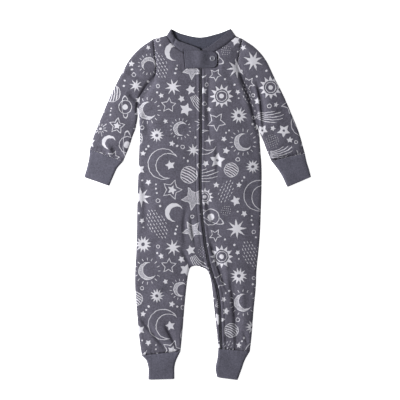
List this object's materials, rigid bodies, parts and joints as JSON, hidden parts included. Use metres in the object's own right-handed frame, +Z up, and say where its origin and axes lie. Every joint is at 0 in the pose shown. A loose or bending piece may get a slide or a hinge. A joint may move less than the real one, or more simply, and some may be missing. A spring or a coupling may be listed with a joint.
{
  "type": "footless baby sleepsuit, laid flat",
  "caption": "Long-sleeved, footless baby sleepsuit laid flat on its back, with a slanting zip from the neck to one ankle, a snapped chin tab, a neckband and plain cuffs.",
  "frame": {"origin": "centre of the suit's bounding box in X and Y, on the surface that it lies on", "axes": "+Y from the ankles to the neck, +Z up out of the suit's front, +X to the wearer's left"},
  "size_m": [0.4249, 0.6577, 0.0111],
  "materials": {
    "print_jersey": "slate grey cotton interlock with an all-over white night sky print",
    "plain_jersey": "plain slate grey cotton interlock, doubled",
    "zip_tape": "woven polyester tape",
    "zip_coil": "closed nylon coil",
    "zip_metal": "dark plated slider and pull",
    "snap_metal": "grey ring snap, satin"
  },
  "bodies": {
    "root": {"front_right": "print_jersey", "front_left": "print_jersey", "back": "print_jersey", "sleeve_right": "print_jersey", "sleeve_left": "print_jersey", "sleeve_cuff_right": "plain_jersey", "sleeve_cuff_left": "plain_jersey", "leg_cuff_right": "plain_jersey", "leg_cuff_left": "plain_jersey", "neckband": "plain_jersey", "chin_tab": "plain_jersey", "snap_cap": "snap_metal", "zip_tape": "zip_tape", "zip_coil": "zip_coil", "zip_slider": "zip_metal", "zip_pull": "zip_metal"}
  },
  "joints": []
}
